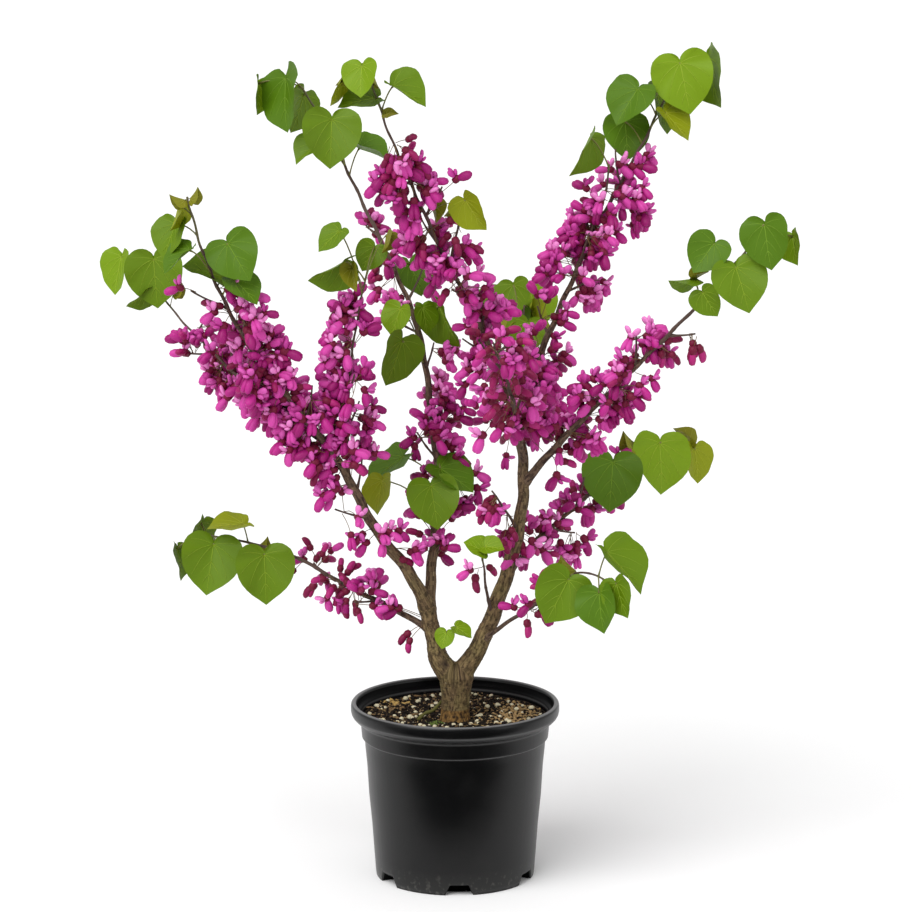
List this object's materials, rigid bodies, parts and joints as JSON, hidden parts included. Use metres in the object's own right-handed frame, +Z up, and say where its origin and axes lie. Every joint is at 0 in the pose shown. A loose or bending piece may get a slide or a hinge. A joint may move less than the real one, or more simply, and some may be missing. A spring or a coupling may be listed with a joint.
{
  "type": "potted redbud tree",
  "caption": "Young flowering tree with a forked trunk, spreading boughs and heart-shaped leaves, growing in a round plastic nursery pot.",
  "frame": {"origin": "centre of the pot's flat underside", "axes": "+Z up the trunk, +X to the tree's right seen from the front, -Y to the front"},
  "size_m": [0.7515, 0.5352, 0.9174],
  "materials": {
    "pot": "satin black moulded plastic, dusty at the foot",
    "soil": "moist bark and peat mix with perlite grit",
    "bark": "matt grey-brown bark, rougher on the trunk",
    "spray": "matt magenta blossom with soft green leaves on dark twigs",
    "leaf": "matt mid-green leaf with pale veins",
    "blossom": "soft magenta petal"
  },
  "bodies": {
    "root": {"trunk": "bark", "left_limb": "bark", "right_limb": "bark", "left_bough": "bark", "left_spray": "spray", "centre_bough": "bark", "centre_spray": "spray", "inner_spray": "spray", "right_upper_bough": "bark", "right_upper_spray": "spray", "right_bough": "bark", "right_spray": "spray", "right_low_bough": "bark", "right_low_spray": "spray", "right_basal_spray": "spray", "left_basal_spray": "spray", "front_bough": "bark", "front_spray": "spray", "back_bough": "bark", "back_spray": "spray", "small_spray": "spray", "dark_spray": "spray", "crotch_spray": "spray", "pot": "pot", "soil": "soil"}
  },
  "joints": []
}
